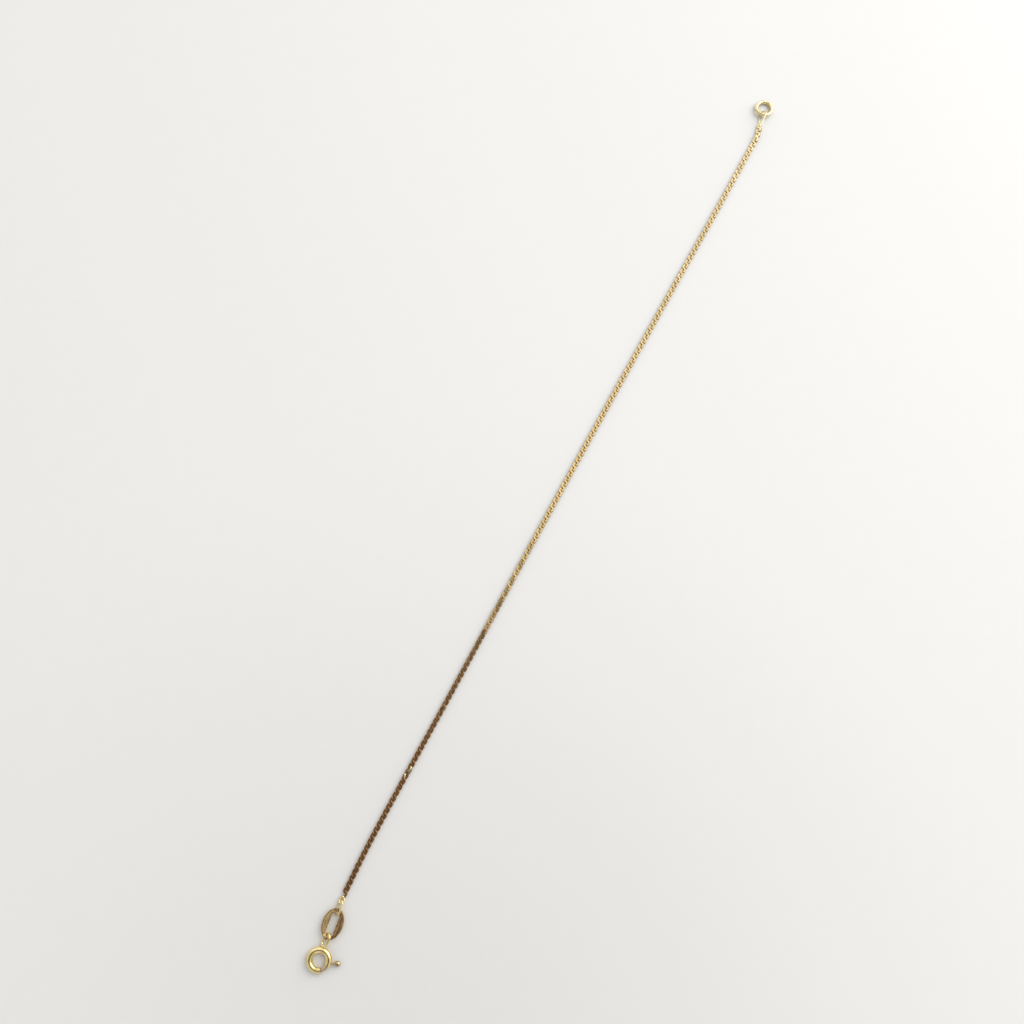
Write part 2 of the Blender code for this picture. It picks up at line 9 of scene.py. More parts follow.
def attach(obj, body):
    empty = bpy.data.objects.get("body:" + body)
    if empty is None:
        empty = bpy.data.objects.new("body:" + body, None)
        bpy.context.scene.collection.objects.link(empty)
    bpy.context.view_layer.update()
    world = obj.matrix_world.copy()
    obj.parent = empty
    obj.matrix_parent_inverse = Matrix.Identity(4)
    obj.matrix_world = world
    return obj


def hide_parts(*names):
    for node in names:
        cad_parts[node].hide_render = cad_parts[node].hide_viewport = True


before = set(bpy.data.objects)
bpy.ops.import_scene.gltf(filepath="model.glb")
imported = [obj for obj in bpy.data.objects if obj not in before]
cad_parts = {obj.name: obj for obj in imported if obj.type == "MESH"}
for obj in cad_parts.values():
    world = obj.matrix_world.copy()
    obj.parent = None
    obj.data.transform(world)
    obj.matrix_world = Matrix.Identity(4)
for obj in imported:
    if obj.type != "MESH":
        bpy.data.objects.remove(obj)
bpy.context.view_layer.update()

mm = 0.001
random.seed(7)


# small helpers for the modelling steps
def clearSelection():
    if bpy.context.object and bpy.context.object.mode != "OBJECT":
        bpy.ops.object.mode_set(mode="OBJECT")
    bpy.ops.object.select_all(action="DESELECT")


def nameNew(name):
    piece = bpy.context.object
    piece.name = name
    piece.data.name = name
    return piece


def pick(piece, kind, test):
    # select verts, edges or faces of the mesh in edit mode by their place
    if piece.mode != "EDIT":
        bpy.ops.object.mode_set(mode="EDIT")
    bpy.ops.mesh.select_mode(type=kind)
    bpy.ops.mesh.select_all(action="DESELECT")
    cage = bmesh.from_edit_mesh(piece.data)
    cage.verts.index_update()
    parts = {"VERT": cage.verts, "EDGE": cage.edges, "FACE": cage.faces}[kind]
    for part in parts:
        if test(part):
            part.select_set(True)
    if kind == "VERT":
        cage.select_flush(True)
    bmesh.update_edit_mesh(piece.data)


def numbersOf(piece, test):
    # the numbers of those verts that pass the test
    cage = bmesh.from_edit_mesh(piece.data)
    cage.verts.index_update()
    return [v.index for v in cage.verts if test(v)]


def middleOf(part):
    return sum((v.co for v in part.verts), Vector()) / len(part.verts)


def growRing(value=(0, 0, 0), size=None, center=(0, 0, 0)):
    # extrude the selected loop or face, then scale it about a point
    bpy.ops.mesh.extrude_region_move(TRANSFORM_OT_translate={"value": value})
    if size:
        bpy.ops.transform.resize(value=size, center_override=center)


def spinRound(steps, angle, center):
    # a positive angle turns anticlockwise seen from above
    bpy.ops.mesh.spin(steps=steps, angle=-angle, center=center, axis=(0, 0, 1))


def applyModifier(piece, kind, **values):
    modifier = piece.modifiers.new(kind.title(), kind)
    for key, value in values.items():
        setattr(modifier, key, value)
    bpy.context.view_layer.objects.active = piece
    bpy.ops.object.modifier_apply(modifier=modifier.name)


def putInPlace(piece, place):
    # move the object, then bake its place into the mesh
    clearSelection()
    piece.select_set(True)
    bpy.context.view_layer.objects.active = piece
    bpy.context.view_layer.update()
    piece.matrix_world = place @ piece.matrix_world
    bpy.ops.object.transform_apply(location=True, rotation=True, scale=True)
    return piece


def tidyNormals(piece, angle=35, merge=0.002 * mm):
    clearSelection()
    piece.select_set(True)
    bpy.context.view_layer.objects.active = piece
    bpy.ops.object.mode_set(mode="EDIT")
    bpy.ops.mesh.select_all(action="SELECT")
    bpy.ops.mesh.remove_doubles(threshold=merge)
    bpy.ops.mesh.normals_make_consistent(inside=False)
    bpy.ops.object.mode_set(mode="OBJECT")
    bpy.ops.object.shade_smooth_by_angle(angle=math.radians(angle))


def joinAll(pieces, name):
    clearSelection()
    for piece in pieces:
        piece.select_set(True)
    bpy.context.view_layer.objects.active = pieces[0]
    if len(pieces) > 1:
        bpy.ops.object.join()
    whole = nameNew(name)
    bpy.ops.object.transform_apply(location=True, rotation=True, scale=True)
    return whole


def dress(piece, body, nodes, materials):
    if not piece.data.materials:
        for material in materials:
            piece.data.materials.append(material)
    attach(piece, body)
    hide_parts(*nodes)
    print("  made", piece.name, "with", len(piece.data.polygons), "faces")


def lieAlong(near, far, roll=0.0):
    # frame at near: X towards far, Y level before the roll
    axis = (far - near).normalized()
    side = Matrix.Rotation(roll, 3, axis) @ Vector((0, 0, 1)).cross(axis).normalized()
    up = axis.cross(side)
    turn = Matrix((axis, side, up)).transposed().to_4x4()
    return Matrix.Translation(near) @ turn


def point(values):
    return Vector(values) * mm


# colours and polish of the plain gold pieces
goldLooks = {
    "clasp": {"color": (0.90, 0.75, 0.37), "worn": (0.72, 0.56, 0.22), "rough": (0.10, 0.22),
              "grain": 2600, "scratch": 0.10},
    "bolt": {"color": (0.68, 0.52, 0.31), "worn": (0.34, 0.24, 0.13), "rough": (0.12, 0.26),
             "grain": 3000, "scratch": 0.16},
    "ring": {"color": (0.84, 0.72, 0.43), "worn": (0.66, 0.53, 0.26), "rough": (0.18, 0.32),
             "grain": 2600, "scratch": 0.10},
    "tag": {"color": (0.74, 0.54, 0.27), "worn": (0.50, 0.33, 0.15), "rough": (0.18, 0.34),
            "grain": 2200, "scratch": 0.16},
    "solder": {"color": (0.22, 0.18, 0.08), "worn": (0.10, 0.08, 0.035), "rough": (0.30, 0.50),
               "grain": 2400, "scratch": 0.30},
    # the left panel is painted lighter as a reflection and the right panel darker as shade; their hatch and
    # streaks are their own
    "litLeftPanel": {"color": (0.78, 0.58, 0.32), "worn": (0.62, 0.44, 0.22), "rough": (0.26, 0.42),
                  "grain": 2400, "scratch": 0.2},
    "shadedRightPanel": {"color": (0.50, 0.33, 0.16), "worn": (0.30, 0.18, 0.08), "rough": (0.3, 0.5),
                   "grain": 2400, "scratch": 0.2},
}

# clouds, polish and scratches that all gold shares
surface = {
    "cloudScale": 0.3,
    "cloudEdges": (0.36, 0.56),
    "polishEdges": (0.35, 0.65),
    "lineScale": 1.6,
    "lineStretch": (1.0, 4.0, 4.0),
    "lineTurn": 0.5,
    "scratchDepth": 0.02,
}
# a Mix node's colour sockets, by number because their names repeat
mixFirst, mixSecond, mixResult = 6, 7, 2


def addNode(tree, kind, **sockets):
    node = tree.nodes.new(kind)
    for key, value in sockets.items():
        if hasattr(node, key):
            setattr(node, key, value)
        else:
            node.inputs[key].default_value = value
    return node


def goldMaterial(name, look):
    # worn gold: cloudy colour, uneven polish and fine scratches
    material = bpy.data.materials.new(name)
    material.use_nodes = True
    tree = material.node_tree
    shader = tree.nodes["Principled BSDF"]
    shader.inputs["Metallic"].default_value = 1.0
    place = addNode(tree, "ShaderNodeTexCoord")
    clouds = addNode(tree, "ShaderNodeTexNoise", Scale=look["grain"] * surface["cloudScale"],
                     Detail=4.0, Roughness=0.6)
    tree.links.new(place.outputs["Object"], clouds.inputs["Vector"])
    tones = addNode(tree, "ShaderNodeValToRGB")
    tones.color_ramp.elements[0].position = surface["cloudEdges"][0]
    tones.color_ramp.elements[0].color = (*look["worn"], 1)
    tones.color_ramp.elements[1].position = surface["cloudEdges"][1]
    tones.color_ramp.elements[1].color = (*look["color"], 1)
    tree.links.new(clouds.outputs["Fac"], tones.inputs["Fac"])
    tree.links.new(tones.outputs["Color"], shader.inputs["Base Color"])
    polish = addNode(tree, "ShaderNodeTexNoise", Scale=look["grain"], Detail=3.0)
    tree.links.new(place.outputs["Object"], polish.inputs["Vector"])
    spread = addNode(tree, "ShaderNodeMapRange")
    spread.inputs["From Min"].default_value = surface["polishEdges"][0]
    spread.inputs["From Max"].default_value = surface["polishEdges"][1]
    spread.inputs["To Min"].default_value = look["rough"][0]
    spread.inputs["To Max"].default_value = look["rough"][1]
    tree.links.new(polish.outputs["Fac"], spread.inputs["Value"])
    tree.links.new(spread.outputs["Result"], shader.inputs["Roughness"])
    stretch = addNode(tree, "ShaderNodeMapping")
    stretch.inputs["Scale"].default_value = surface["lineStretch"]
    stretch.inputs["Rotation"].default_value = (0.0, 0.0, surface["lineTurn"])
    tree.links.new(place.outputs["Object"], stretch.inputs["Vector"])
    lines = addNode(tree, "ShaderNodeTexNoise", Scale=look["grain"] * surface["lineScale"], Detail=2.0)
    tree.links.new(stretch.outputs["Vector"], lines.inputs["Vector"])
    bump = addNode(tree, "ShaderNodeBump", Strength=look["scratch"],
                   Distance=surface["scratchDepth"] * mm)
    tree.links.new(lines.outputs["Fac"], bump.inputs["Height"])
    tree.links.new(bump.outputs["Normal"], shader.inputs["Normal"])
    return material


def panelMaterial(name, look, panel):
    # a sunk panel: plain gold under fine parallel cuts that are darker
    material = goldMaterial(name, look)
    tree = material.node_tree
    shader = tree.nodes["Principled BSDF"]
    place = addNode(tree, "ShaderNodeTexCoord")
    turn = addNode(tree, "ShaderNodeMapping")
    turn.inputs["Rotation"].default_value = (0, 0, math.radians(panel["angle"]))
    tree.links.new(place.outputs["Object"], turn.inputs["Vector"])
    lines = addNode(tree, "ShaderNodeTexWave", wave_type="BANDS", bands_direction="X", Scale=panel["lines"])
    lines.inputs["Distortion"].default_value = panel["wander"]
    lines.inputs["Detail"].default_value = 2.0
    tree.links.new(turn.outputs["Vector"], lines.inputs["Vector"])
    base = shader.inputs["Base Color"].links[0].from_socket
    dark = addNode(tree, "ShaderNodeMix", data_type="RGBA", blend_type="MULTIPLY")
    strength = addNode(tree, "ShaderNodeMapRange")
    strength.inputs["To Min"].default_value = panel["dirt"]
    strength.inputs["To Max"].default_value = 0.0
    tree.links.new(lines.outputs["Fac"], strength.inputs["Value"])
    tree.links.new(strength.outputs["Result"], dark.inputs["Factor"])
    tree.links.new(base, dark.inputs[mixFirst])
    dark.inputs[mixSecond].default_value = (*panel["shade"], 1)
    tree.links.new(dark.outputs[mixResult], shader.inputs["Base Color"])
    cuts = addNode(tree, "ShaderNodeBump", Strength=panel["depth"], Distance=panel["cut"] * mm)
    tree.links.new(lines.outputs["Fac"], cuts.inputs["Height"])
    tree.links.new(shader.inputs["Normal"].links[0].from_socket, cuts.inputs["Normal"])
    tree.links.new(cuts.outputs["Normal"], shader.inputs["Normal"])
    return material


panelLooks = {
    "hatched": {"angle": 35, "lines": 1300, "wander": 0.6, "dirt": 0.5, "shade": (0.55, 0.42, 0.25),
                "depth": 0.5, "cut": 0.03},
    "streaked": {"angle": 82, "lines": 620, "wander": 3.0, "dirt": 0.7, "shade": (0.40, 0.27, 0.15),
                 "depth": 0.3, "cut": 0.03},
}
claspGold = goldMaterial("claspGold", goldLooks["clasp"])
boltGold = goldMaterial("boltGold", goldLooks["bolt"])
ringGold = goldMaterial("ringGold", goldLooks["ring"])
tagGold = goldMaterial("tagGold", goldLooks["tag"])
darkSolder = goldMaterial("darkSolder", goldLooks["solder"])
hatchedGold = panelMaterial("hatchedGold", goldLooks["litLeftPanel"], panelLooks["hatched"])
streakedGold = panelMaterial("streakedGold", goldLooks["shadedRightPanel"], panelLooks["streaked"])
print("stage 1: plain gold finishes are ready")


chain = {
    "count": 150,
    "length": 179.4,
    "width": 1.02,
    "thickness": 0.54,
    "start": (-85.7052, 2.0421),
    "outline": (  # one link's outline seen from above, along and across in mm
        (-0.671, -0.51), (-0.19, -0.51), (0.116, -0.361), (0.315, 0.174), (0.816, -0.029), (0.976, 0.43),
        (0.671, 0.51), (0.19, 0.51), (-0.115, 0.412), (-0.313, -0.175), (-0.817, 0.03), (-0.977, -0.38),
    ),
    "corner": 0.075,
    "edge": 0.07,
    "tongueThickness": 0.2,
    "tongueReach": 0.16,
    "tongueMargin": 0.03,
    "nearWall": 0.06,
    "flatLift": 0.9,
    "edgeLift": 0.3,
    "smooth": 30,
    "rollEnd": -38,
    "rolledLinks": 4,
    "lean": 1.3,
    "tipShare": 0.6,
    "tipReach": 0.95,
    "route": (  # along and sideways as shares of the length
        (0.0, 0.0), (0.062, 0.00134), (0.239, -0.00212), (0.425, -0.00535), (0.583, -0.00864),
        (0.75, -0.01315), (0.881, -0.01706), (0.9805, -0.01934), (0.9866, -0.01906), (1.0, -0.01622),
    ),
}


def routeAt(share):
    rows = chain["route"]
    slopes = []
    for k in range(len(rows)):
        before, after = rows[max(k - 1, 0)], rows[min(k + 1, len(rows) - 1)]
        slopes.append((after[1] - before[1]) / (after[0] - before[0]))
    k = max(j for j in range(len(rows) - 1) if rows[j][0] <= share or j == 0)
    span = rows[k + 1][0] - rows[k][0]
    t = (share - rows[k][0]) / span
    low, high = rows[k][1], rows[k + 1][1]
    startSlope, endSlope = slopes[k] * span, slopes[k + 1] * span
    across = ((2 * t ** 3 - 3 * t ** 2 + 1) * low + (t ** 3 - 2 * t ** 2 + t) * startSlope
              + (3 * t ** 2 - 2 * t ** 3) * high + (t ** 3 - t ** 2) * endSlope)
    slope = ((6 * t ** 2 - 6 * t) * (low - high) + (3 * t ** 2 - 4 * t + 1) * startSlope
             + (3 * t ** 2 - 2 * t) * endSlope) / span
    x = chain["start"][0] + chain["length"] * share
    y = chain["start"][1] + chain["length"] * across
    return point((x, y, 0)), math.atan(slope)


def makeLink():
    # one flat S: a circle's points are moved to the outline, then it gets its thickness
    outline = [point((x, y, 0)) for x, y in chain["outline"]]
    clearSelection()
    bpy.ops.mesh.primitive_circle_add(vertices=len(outline), radius=0.5 * mm, fill_type="NGON")
    link = nameNew("sLink")
    bpy.ops.object.mode_set(mode="EDIT")
    starts = [v.co.copy() for v in bmesh.from_edit_mesh(link.data).verts]
    for k, goal in enumerate(outline):
        pick(link, "VERT", lambda v, k=k: v.index == k)
        bpy.ops.transform.translate(value=goal - starts[k])
    bpy.ops.mesh.select_mode(type="FACE")
    bpy.ops.mesh.select_all(action="SELECT")
    wall = (chain["thickness"] - chain["edge"]) * mm
    growRing((0, 0, wall))
    bpy.ops.mesh.select_all(action="SELECT")
    bpy.ops.mesh.normals_make_consistent(inside=False)
    # the upright corners are cut, then the upper face gets its rounded edge
    pick(link, "EDGE", lambda e: abs(e.verts[0].co.z - e.verts[1].co.z) > wall / 2)
    bpy.ops.mesh.bevel(offset=chain["corner"] * mm, segments=1, affect="EDGES")
    pick(link, "FACE", lambda f: f.normal.z > chain["flatLift"])
    bpy.ops.mesh.inset(thickness=chain["edge"] * mm, depth=chain["edge"] * mm)
    # a tongue from the wall between hump and valley reaches under the next link
    hump, valley = outline[3], outline[4]
    wallMiddle = (hump + valley) / 2 + Vector((0, 0, wall / 2))
    pick(link, "FACE", lambda f: (middleOf(f) - wallMiddle).length < chain["nearWall"] * mm)
    bpy.ops.mesh.inset(thickness=chain["tongueMargin"] * mm)
    away = Vector((valley.y - hump.y, hump.x - valley.x, 0)).normalized()
    tongueSize = chain["tongueThickness"] * mm / (wall - 2 * chain["tongueMargin"] * mm)
    bpy.ops.transform.resize(value=(1, 1, tongueSize), center_override=wallMiddle)
    growRing(away * chain["tongueReach"] * mm)
    bpy.ops.object.mode_set(mode="OBJECT")
    # flat tops take the full colour; sloped edges and upright walls take darker copies, a painted shade, with
    # tarnish on the walls as well
    for face in link.data.polygons:
        lift = abs(face.normal.z)
        face.material_index = 0 if lift > chain["flatLift"] else 1 if lift > chain["edgeLift"] else 2
    bpy.ops.object.shade_smooth_by_angle(angle=math.radians(chain["smooth"]))
    return link


def makeChain(materials):
    master = makeLink()
    for material in materials:
        master.data.materials.append(material)
    links = []
    for k in range(chain["count"]):
        place, heading = routeAt((k + 0.5) / chain["count"])
        twist = max(0.0, (k - (chain["count"] - 1 - chain["rolledLinks"])) / chain["rolledLinks"])
        roll = math.radians(chain["rollEnd"] * twist + random.gauss(0, chain["lean"]) * (1 - twist))
        tip = math.radians(random.gauss(0, chain["lean"] * chain["tipShare"]))
        half = chain["thickness"] / 2 * mm
        sideLift = chain["width"] / 2 * mm * abs(math.sin(roll))
        tipLift = chain["tipReach"] * mm * abs(math.sin(tip))
        place.z = sideLift + half * math.cos(roll) + tipLift
        turn = Matrix.Rotation(heading, 4, "Z") @ Matrix.Rotation(tip, 4, "Y") @ Matrix.Rotation(roll, 4, "X")
        link = master.copy()
        link.data = master.data.copy()
        bpy.context.collection.objects.link(link)
        link.matrix_world = Matrix.Translation(place) @ turn @ Matrix.Translation((0, 0, -half))
        tone = link.data.attributes.new("linkTone", "FLOAT", "FACE")
        tone.data.foreach_set("value", [random.random()] * len(link.data.polygons))
        links.append(link)
    bpy.data.objects.remove(master)
    return joinAll(links, "chainLinks")


chainLook = {
    "along": (  # place along X in mm and the colour there, a painted shade that is darker and redder towards the clasp
        (-87, (0.75, 0.42, 0.18)), (-61, (0.83, 0.47, 0.22)), (-38, (0.83, 0.53, 0.25)),
        (-20, (0.84, 0.61, 0.28)), (5, (0.85, 0.62, 0.29)), (50, (0.85, 0.655, 0.345)), (97, (0.88, 0.70, 0.40)),
    ),
    "toneSpread": 0.10,
    "toneLift": 0.4,
    "rough": (0.07, 0.14),
    "edgeShadeStrength": (0.5, 0.85),
    "edgeRough": (0.28, 0.42),
    "scratch": 0.12,
    "grain": 3200.0,
    "wallShadeAndTarnishStrength": (0.22, 0.5),
    "gapRough": (0.38, 0.58),
}


def chainMaterial(name, strength, rough):
    # the colour ramp along X is a painted shade, darker and redder towards the clasp
    # redder towards the clasp and paler towards the end ring, fitted by mean colours;
    # strength is for both ends
    material = bpy.data.materials.new(name)
    material.use_nodes = True
    tree = material.node_tree
    shader = tree.nodes["Principled BSDF"]
    shader.inputs["Metallic"].default_value = 1.0
    place = addNode(tree, "ShaderNodeTexCoord")
    apart = addNode(tree, "ShaderNodeSeparateXYZ")
    tree.links.new(place.outputs["Object"], apart.inputs["Vector"])
    rows = chainLook["along"]
    span = addNode(tree, "ShaderNodeMapRange")
    span.inputs["From Min"].default_value = rows[0][0] * mm
    span.inputs["From Max"].default_value = rows[-1][0] * mm
    tree.links.new(apart.outputs["X"], span.inputs["Value"])
    ramp = addNode(tree, "ShaderNodeValToRGB")
    while len(ramp.color_ramp.elements) < len(rows):
        ramp.color_ramp.elements.new(0.5)
    for stop, (x, color) in zip(ramp.color_ramp.elements, rows):
        share = (x - rows[0][0]) / (rows[-1][0] - rows[0][0])
        paintedShade = strength[0] + (strength[1] - strength[0]) * share
        stop.position = share
        stop.color = (*[c * paintedShade for c in color], 1)
    tree.links.new(span.outputs["Result"], ramp.inputs["Fac"])
    tone = addNode(tree, "ShaderNodeAttribute", attribute_name="linkTone")
    shade = addNode(tree, "ShaderNodeMapRange")
    shade.inputs["To Min"].default_value = 1 - chainLook["toneSpread"]
    shade.inputs["To Max"].default_value = 1 + chainLook["toneSpread"] * chainLook["toneLift"]
    tree.links.new(tone.outputs["Fac"], shade.inputs["Value"])
    tinted = addNode(tree, "ShaderNodeVectorMath", operation="SCALE")
    tree.links.new(ramp.outputs["Color"], tinted.inputs[0])
    tree.links.new(shade.outputs["Result"], tinted.inputs["Scale"])
    tree.links.new(tinted.outputs["Vector"], shader.inputs["Base Color"])
    polish = addNode(tree, "ShaderNodeTexNoise", Scale=chainLook["grain"], Detail=3.0)
    tree.links.new(place.outputs["Object"], polish.inputs["Vector"])
    spread = addNode(tree, "ShaderNodeMapRange")
    spread.inputs["From Min"].default_value = surface["polishEdges"][0]
    spread.inputs["From Max"].default_value = surface["polishEdges"][1]
    spread.inputs["To Min"].default_value = rough[0]
    spread.inputs["To Max"].default_value = rough[1]
    tree.links.new(polish.outputs["Fac"], spread.inputs["Value"])
    tree.links.new(spread.outputs["Result"], shader.inputs["Roughness"])
    bump = addNode(tree, "ShaderNodeBump", Strength=chainLook["scratch"],
                   Distance=surface["scratchDepth"] * mm)
    tree.links.new(polish.outputs["Fac"], bump.inputs["Height"])
    tree.links.new(bump.outputs["Normal"], shader.inputs["Normal"])
    return material


chainGold = chainMaterial("chainGold", (1, 1), chainLook["rough"])
# darker copies of the chain gold: painted shade on the sloped edges, painted shade and tarnish on the upright
# walls
shadedEdgeGold = chainMaterial("shadedEdgeGold", chainLook["edgeShadeStrength"], chainLook["edgeRough"])
wallShadeAndTarnish = chainMaterial("wallShadeAndTarnish", chainLook["wallShadeAndTarnishStrength"], chainLook["gapRough"])
linkFinishes = [chainGold, shadedEdgeGold, wallShadeAndTarnish]
chainLinks = makeChain(linkFinishes)
dress(chainLinks, "bracelet", ["chain"], linkFinishes)
print("stage 2: the chain's links are laid")


def wireLoop(name, loop):
    # a section ring is spun round the far end, drawn back and spun round the near end
    near, far = point(loop["near"]), point(loop["far"])
    wire, nearRadius, farRadius = (loop[key] * mm for key in ("wire", "nearRadius", "farRadius"))
    length = (far - near).length
    nearCentre = Vector((nearRadius + wire, 0, 0))
    farCentre = Vector((length - farRadius - wire, 0, 0))
    lean = math.asin((farRadius - nearRadius) / (farCentre - nearCentre).length)
    farHalf, nearHalf = math.pi / 2 + lean, math.pi / 2 - lean
    start = farCentre + farRadius * Vector((math.cos(-farHalf), math.sin(-farHalf), 0))
    clearSelection()
    bpy.ops.mesh.primitive_circle_add(vertices=loop["sides"], radius=wire, location=start,
                                      rotation=(math.pi / 2, 0, -farHalf))
    piece = nameNew(name)
    bpy.ops.object.transform_apply(location=True, rotation=True, scale=True)
    bpy.ops.object.mode_set(mode="EDIT")
    bpy.ops.mesh.select_mode(type="VERT")
    bpy.ops.mesh.select_all(action="SELECT")
    spinRound(loop["steps"], 2 * farHalf, farCentre)
    side = Vector((math.cos(farHalf), math.sin(farHalf), 0))
    growRing((nearCentre + nearRadius * side) - (farCentre + farRadius * side))
    spinRound(loop["steps"], 2 * nearHalf, nearCentre)
    pick(piece, "EDGE", lambda e: e.is_boundary)
    bpy.ops.mesh.bridge_edge_loops()
    bpy.ops.object.mode_set(mode="OBJECT")
    putInPlace(piece, lieAlong(near, far, math.radians(loop["roll"])))
    tidyNormals(piece, 60)
    return piece


solderBall = {"sides": 20, "rows": 12, "smooth": 80}


def solderDrop(name, drop):
    # a lump of solder: a ball is squeezed to its size and made a little uneven
    clearSelection()
    bpy.ops.mesh.primitive_uv_sphere_add(segments=solderBall["sides"], ring_count=solderBall["rows"], radius=1)
    piece = nameNew(name)
    bpy.ops.object.mode_set(mode="EDIT")
    bpy.ops.transform.resize(value=[s * mm for s in drop["size"]], center_override=(0, 0, 0))
    bpy.ops.transform.vertex_random(offset=drop["uneven"] * mm, seed=drop["seed"])
    bpy.ops.object.mode_set(mode="OBJECT")
    turn = Matrix.Rotation(math.radians(drop["heading"]), 4, "Z")
    putInPlace(piece, Matrix.Translation(point(drop["place"])) @ turn)
    tidyNormals(piece, solderBall["smooth"])
    return piece


endLink = {"near": (-89.3618, 1.5802, 0.7), "far": (-86.5244, 1.9386, 0.51), "wire": 0.15,
           "nearRadius": 0.6364, "farRadius": 0.5091, "roll": -45, "steps": 22, "sides": 14}
chainEye = {"near": (-87.3271, 1.8372, 0.51), "far": (-86.0332, 2.0007, 0.27), "wire": 0.15,
            "nearRadius": 0.4621, "farRadius": 0.4621, "roll": 0, "steps": 22, "sides": 14}
chainEyeSolder = {"place": (-86.0332, 2.0007, 0.33), "size": (0.34, 0.33, 0.32), "uneven": 0.02,
                  "seed": 3, "heading": 7}
endLoop = {"near": (93.5481, -0.8989, 0.72), "far": (97.2068, -0.1234, 0.72), "wire": 0.142,
           "nearRadius": 0.2, "farRadius": 0.8202, "roll": -45, "steps": 24, "sides": 14}
endLoopSolder = {"place": (93.60, -0.8883, 0.70), "size": (0.36, 0.28, 0.28), "uneven": 0.02,
                 "seed": 5, "heading": 12}
turnBead = {"place": (90.748, -1.3063, 0.5), "size": (0.52, 0.48, 0.49), "uneven": 0.012,
            "seed": 9, "heading": 2}
oldRepair = {"place": (-60.90, 2.0637, 0.33), "size": (0.60, 0.50, 0.34), "uneven": 0.03,
             "seed": 12, "heading": -1.2}
repairSmears = [
    {"place": (-61.72, 2.2437, 0.38), "size": (0.52, 0.20, 0.26), "uneven": 0.02,
     "seed": 14, "heading": 9},
    {"place": (-60.08, 1.8837, 0.38), "size": (0.55, 0.20, 0.26), "uneven": 0.02,
     "seed": 15, "heading": 8},
]

endLinkPiece = wireLoop("endLink", endLink)
dress(endLinkPiece, "bracelet", ["end_link"], [claspGold])
eyeParts = [wireLoop("chainEye", chainEye), solderDrop("chainEyeSolder", chainEyeSolder)]
eyePiece = joinAll(eyeParts, "chainEye")
dress(eyePiece, "bracelet", ["chain"], [ringGold])
loopParts = [wireLoop("endLoop", endLoop), solderDrop("endLoopSolder", endLoopSolder)]
loopPiece = joinAll(loopParts, "endLoop")
dress(loopPiece, "bracelet", ["chain"], [ringGold])
beadPiece = solderDrop("turnBead", turnBead)
dress(beadPiece, "bracelet", ["chain"], [ringGold])
repairPiece = solderDrop("oldRepair", oldRepair)
dress(repairPiece, "bracelet", ["chain"], [darkSolder])
smearPiece = joinAll([solderDrop("repairSmear", smear) for smear in repairSmears], "repairSmears")
dress(smearPiece, "bracelet", ["chain"], [ringGold])
print("stage 3: loops and solder are in place")


clasp = {
    "outer": 2.36,
    "tube": 0.58,
    "wall": 0.17,
    "mouth": -95,
    "farMouth": 219,
    "steps": 84,
    "sides": 28,
    "slotHalf": 0.33,
    "slotFrom": -83.7,
    "slotTo": -2.3,
    "slotSteps": 24,
    "slotReach": 0.2,
    "centre": (-97.5259, 0.5488, 0.58),
    "eye": {"near": (-95.3433, 1.0527, 0.7), "far": (-92.5355, 1.1792, 0.7), "wire": 0.23,
            "nearRadius": 0.6647, "farRadius": 0.6647, "roll": -45, "steps": 22, "sides": 16},
    "solder": {"place": (-95.045, 1.1217, 0.60), "size": (0.31, 0.37, 0.35), "uneven": 0.015,
               "seed": 2, "heading": 13},
}


def makeClaspTube():
    path = (clasp["outer"] - clasp["tube"]) * mm
    clearSelection()
    bpy.ops.mesh.primitive_circle_add(vertices=clasp["sides"], radius=clasp["tube"] * mm,
                                      location=(path, 0, 0), rotation=(math.pi / 2, 0, 0))
    tube = nameNew("claspCase")
    bpy.ops.object.transform_apply(location=True, rotation=True, scale=True)
    bpy.ops.object.mode_set(mode="EDIT")
    bpy.ops.mesh.select_all(action="SELECT")
    sweep = math.radians(clasp["farMouth"] - clasp["mouth"])
    spinRound(clasp["steps"], sweep, (0, 0, 0))
    bpy.ops.mesh.select_all(action="SELECT")
    bpy.ops.mesh.normals_make_consistent(inside=False)
    bpy.ops.object.mode_set(mode="OBJECT")
    applyModifier(tube, "SOLIDIFY", thickness=clasp["wall"] * mm, offset=-1.0, use_even_offset=True)
    putInPlace(tube, Matrix.Rotation(math.radians(clasp["mouth"]), 4, "Z"))
    # cutter for the trigger's slot: a flat bar spun round the ring
    radius = (path, clasp["outer"] * mm + clasp["slotReach"] * mm)
    clearSelection()
    bpy.ops.mesh.primitive_plane_add(size=1, location=((radius[0] + radius[1]) / 2, 0, 0),
                                     rotation=(math.pi / 2, 0, 0))
    cutter = nameNew("slotCutter")
    cutter.scale = (radius[1] - radius[0], clasp["slotHalf"] * 2 * mm, 1)
    bpy.ops.object.transform_apply(location=True, rotation=True, scale=True)
    bpy.ops.object.mode_set(mode="EDIT")
    bpy.ops.mesh.select_all(action="SELECT")
    reach = math.radians(clasp["slotTo"] - clasp["slotFrom"])
    spinRound(clasp["slotSteps"], reach, (0, 0, 0))
    bpy.ops.object.mode_set(mode="OBJECT")
    putInPlace(cutter, Matrix.Rotation(math.radians(clasp["slotFrom"]), 4, "Z"))
    tidyNormals(cutter)
    clearSelection()
    tube.select_set(True)
    applyModifier(tube, "BOOLEAN", object=cutter, operation="DIFFERENCE", solver="EXACT")
    bpy.data.objects.remove(cutter)
    putInPlace(tube, Matrix.Translation(point(clasp["centre"])))
    tidyNormals(tube, 40)
    return tube


claspParts = [makeClaspTube(), wireLoop("claspEye", clasp["eye"]), solderDrop("eyeSolder", clasp["solder"])]
claspPiece = joinAll(claspParts, "claspCase")
dress(claspPiece, "bracelet", ["clasp_case"], [claspGold])


